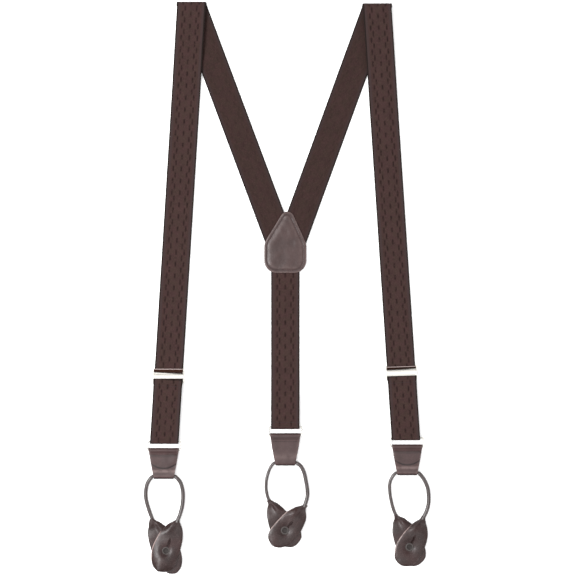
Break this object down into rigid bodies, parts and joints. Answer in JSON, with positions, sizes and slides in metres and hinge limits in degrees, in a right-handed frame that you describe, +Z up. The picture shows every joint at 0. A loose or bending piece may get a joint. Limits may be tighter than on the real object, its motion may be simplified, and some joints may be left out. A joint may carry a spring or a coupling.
{
  "type": "suspenders",
  "caption": "Button-on suspenders lying folded: webbing shoulder straps, leather Y patch, metal adjusters, wire rings, leather tabs and crossed buttonhole runners.",
  "frame": {"origin": "middle of the leather patch on its underside, on the surface that the suspenders lie on", "axes": "+X to the right seen from above, +Y along the back strap towards the shoulders, +Z up from the table"},
  "size_m": [0.3192, 0.6419, 0.0072],
  "materials": {
    "webbing": "ribbed jacquard webbing, dark brown",
    "patch_leather": "smooth dark brown leather, satin",
    "tab_leather": "smooth dark brown leather, satin",
    "runner_leather": "rolled and flat dark brown leather, satin",
    "thread": "dark brown sewing thread",
    "lever_metal": "polished pale plating",
    "frame_metal": "plated stamped metal",
    "ring_metal": "polished pale plating",
    "stud_plastic": "dark brown plastic, satin"
  },
  "bodies": {
    "root": {"left_back_strap": "webbing", "right_back_strap": "webbing", "left_shoulder_fold": "webbing", "right_shoulder_fold": "webbing", "patch_backing": "patch_leather", "patch_face": "patch_leather", "patch_stitching": "thread", "centre_strap": "webbing"},
    "left_front": {"left_front_strap": "webbing", "left_lower_strap": "webbing"},
    "left_adjuster": {"left_adjuster_frame": "frame_metal", "left_hinge_pin": "frame_metal", "left_return_strap": "webbing", "left_strap_hem": "webbing", "left_hem_stitching": "thread"},
    "left_lever": {"left_lever": "lever_metal"},
    "left_loop": {"left_strap_loop": "webbing"},
    "right_front": {"right_front_strap": "webbing", "right_lower_strap": "webbing"},
    "right_adjuster": {"right_adjuster_frame": "frame_metal", "right_hinge_pin": "frame_metal", "right_return_strap": "webbing", "right_strap_hem": "webbing", "right_hem_stitching": "thread"},
    "right_lever": {"right_lever": "lever_metal"},
    "right_loop": {"right_strap_loop": "webbing"},
    "left_ring": {"left_ring": "ring_metal"},
    "left_tab": {"left_tab": "tab_leather", "left_tab_stitching": "thread", "left_tab_flap": "tab_leather"},
    "left_runner": {"left_cord": "runner_leather", "left_under_ear": "runner_leather", "left_stud_base": "stud_plastic"},
    "left_ear": {"left_over_ear": "runner_leather", "left_stud_cap": "stud_plastic"},
    "right_ring": {"right_ring": "ring_metal"},
    "right_tab": {"right_tab": "tab_leather", "right_tab_stitching": "thread", "right_tab_flap": "tab_leather"},
    "right_runner": {"right_cord": "runner_leather", "right_under_ear": "runner_leather", "right_stud_base": "stud_plastic"},
    "right_ear": {"right_over_ear": "runner_leather", "right_stud_cap": "stud_plastic"},
    "back_loop": {"back_strap_hem": "webbing", "back_hem_stitching": "thread"},
    "back_ring": {"back_ring": "ring_metal"},
    "back_tab": {"back_tab": "tab_leather", "back_tab_stitching": "thread"},
    "back_runner": {"back_cord": "runner_leather", "back_under_ear": "runner_leather", "back_stud_base": "stud_plastic"},
    "back_ear": {"back_over_ear": "runner_leather", "back_stud_cap": "stud_plastic"}
  },
  "joints": [
    {"name": "left_shoulder_fold_hinge", "type": "hinge", "parent": "root", "child": "left_front", "pos_m": [-0.1048, 0.268, 0.0036], "axis": [-0.9891, -0.1474, 0], "range_deg": [0, 180], "deforming": ["left_shoulder_fold"]},
    {"name": "left_adjuster_slide", "type": "slide", "parent": "left_front", "child": "left_adjuster", "axis": [0.0619, 0.9981, 0], "range_m": [0, 0.1], "deforming": ["left_lower_strap"]},
    {"name": "left_loop_slide", "type": "slide", "parent": "left_adjuster", "child": "left_loop", "axis": [0.0619, 0.9981, 0], "range_m": [-0.05, 0], "deforming": ["left_return_strap"]},
    {"name": "left_lever_hinge", "type": "hinge", "parent": "left_adjuster", "child": "left_lever", "pos_m": [-0.13037, -0.14411, 0.0043], "axis": [0.9981, -0.0619, 0], "range_deg": [-80, 0]},
    {"name": "right_shoulder_fold_hinge", "type": "hinge", "parent": "root", "child": "right_front", "pos_m": [0.1026, 0.2662, 0.0036], "axis": [-0.99, 0.1409, 0], "range_deg": [0, 180], "deforming": ["right_shoulder_fold"]},
    {"name": "right_adjuster_slide", "type": "slide", "parent": "right_front", "child": "right_adjuster", "axis": [-0.0663, 0.9978, 0], "range_m": [0, 0.1], "deforming": ["right_lower_strap"]},
    {"name": "right_loop_slide", "type": "slide", "parent": "right_adjuster", "child": "right_loop", "axis": [-0.0663, 0.9978, 0], "range_m": [-0.05, 0], "deforming": ["right_return_strap"]},
    {"name": "right_lever_hinge", "type": "hinge", "parent": "right_adjuster", "child": "right_lever", "pos_m": [0.12959, -0.14011, 0.0043], "axis": [0.9978, 0.0663, 0], "range_deg": [-80, 0]},
    {"name": "left_ring_hinge", "type": "hinge", "parent": "left_loop", "child": "left_ring", "pos_m": [-0.1354, -0.2194, 0.0036], "axis": [0.9995, -0.0314, 0], "range_deg": [-45, 0]},
    {"name": "left_tab_hinge", "type": "hinge", "parent": "left_ring", "child": "left_tab", "pos_m": [-0.13571, -0.22939, 0.0036], "axis": [0.9995, -0.0314, 0], "range_deg": [-45, 0]},
    {"name": "left_runner_hinge", "type": "hinge", "parent": "left_tab", "child": "left_runner", "pos_m": [-0.13571, -0.2582, 0.0033], "axis": [1, 0, 0], "range_deg": [-45, 0]},
    {"name": "left_ear_hinge", "type": "hinge", "parent": "left_runner", "child": "left_ear", "pos_m": [-0.12132, -0.31028, 0.004], "axis": [0.9336, -0.3584, 0], "range_deg": [-70, 0]},
    {"name": "right_ring_hinge", "type": "hinge", "parent": "right_loop", "child": "right_ring", "pos_m": [0.1358, -0.2154, 0.0036], "axis": [0.9995, 0.0314, 0], "range_deg": [-45, 0]},
    {"name": "right_tab_hinge", "type": "hinge", "parent": "right_ring", "child": "right_tab", "pos_m": [0.13611, -0.2254, 0.0036], "axis": [0.9995, 0.0314, 0], "range_deg": [-45, 0]},
    {"name": "right_runner_hinge", "type": "hinge", "parent": "right_tab", "child": "right_runner", "pos_m": [0.13611, -0.2542, 0.0033], "axis": [1, 0, 0], "range_deg": [-45, 0]},
    {"name": "right_ear_hinge", "type": "hinge", "parent": "right_runner", "child": "right_ear", "pos_m": [0.1526, -0.30694, 0.004], "axis": [0.9063, -0.4226, 0], "range_deg": [-70, 0]},
    {"name": "back_stretch", "type": "slide", "parent": "root", "child": "back_loop", "axis": [0, -1, 0], "range_m": [0, 0.05], "stiffness_N_per_m": 200, "deforming": ["centre_strap"]},
    {"name": "back_ring_hinge", "type": "hinge", "parent": "back_loop", "child": "back_ring", "pos_m": [0, -0.2029, 0.0036], "axis": [1, 0, 0], "range_deg": [-45, 0]},
    {"name": "back_tab_hinge", "type": "hinge", "parent": "back_ring", "child": "back_tab", "pos_m": [0, -0.2129, 0.0036], "axis": [1, 0, 0], "range_deg": [-45, 0]},
    {"name": "back_runner_hinge", "type": "hinge", "parent": "back_tab", "child": "back_runner", "pos_m": [0, -0.2433, 0.0033], "axis": [1, 0, 0], "range_deg": [-45, 0]},
    {"name": "back_ear_hinge", "type": "hinge", "parent": "back_runner", "child": "back_ear", "pos_m": [0.02091, -0.2931, 0.004], "axis": [0.766, -0.6428, 0], "range_deg": [-70, 0]}
  ],
  "couplings": [
    {"joint": "left_loop_slide", "follows": "left_adjuster_slide", "ratio": -0.5},
    {"joint": "right_loop_slide", "follows": "right_adjuster_slide", "ratio": -0.5}
  ]
}
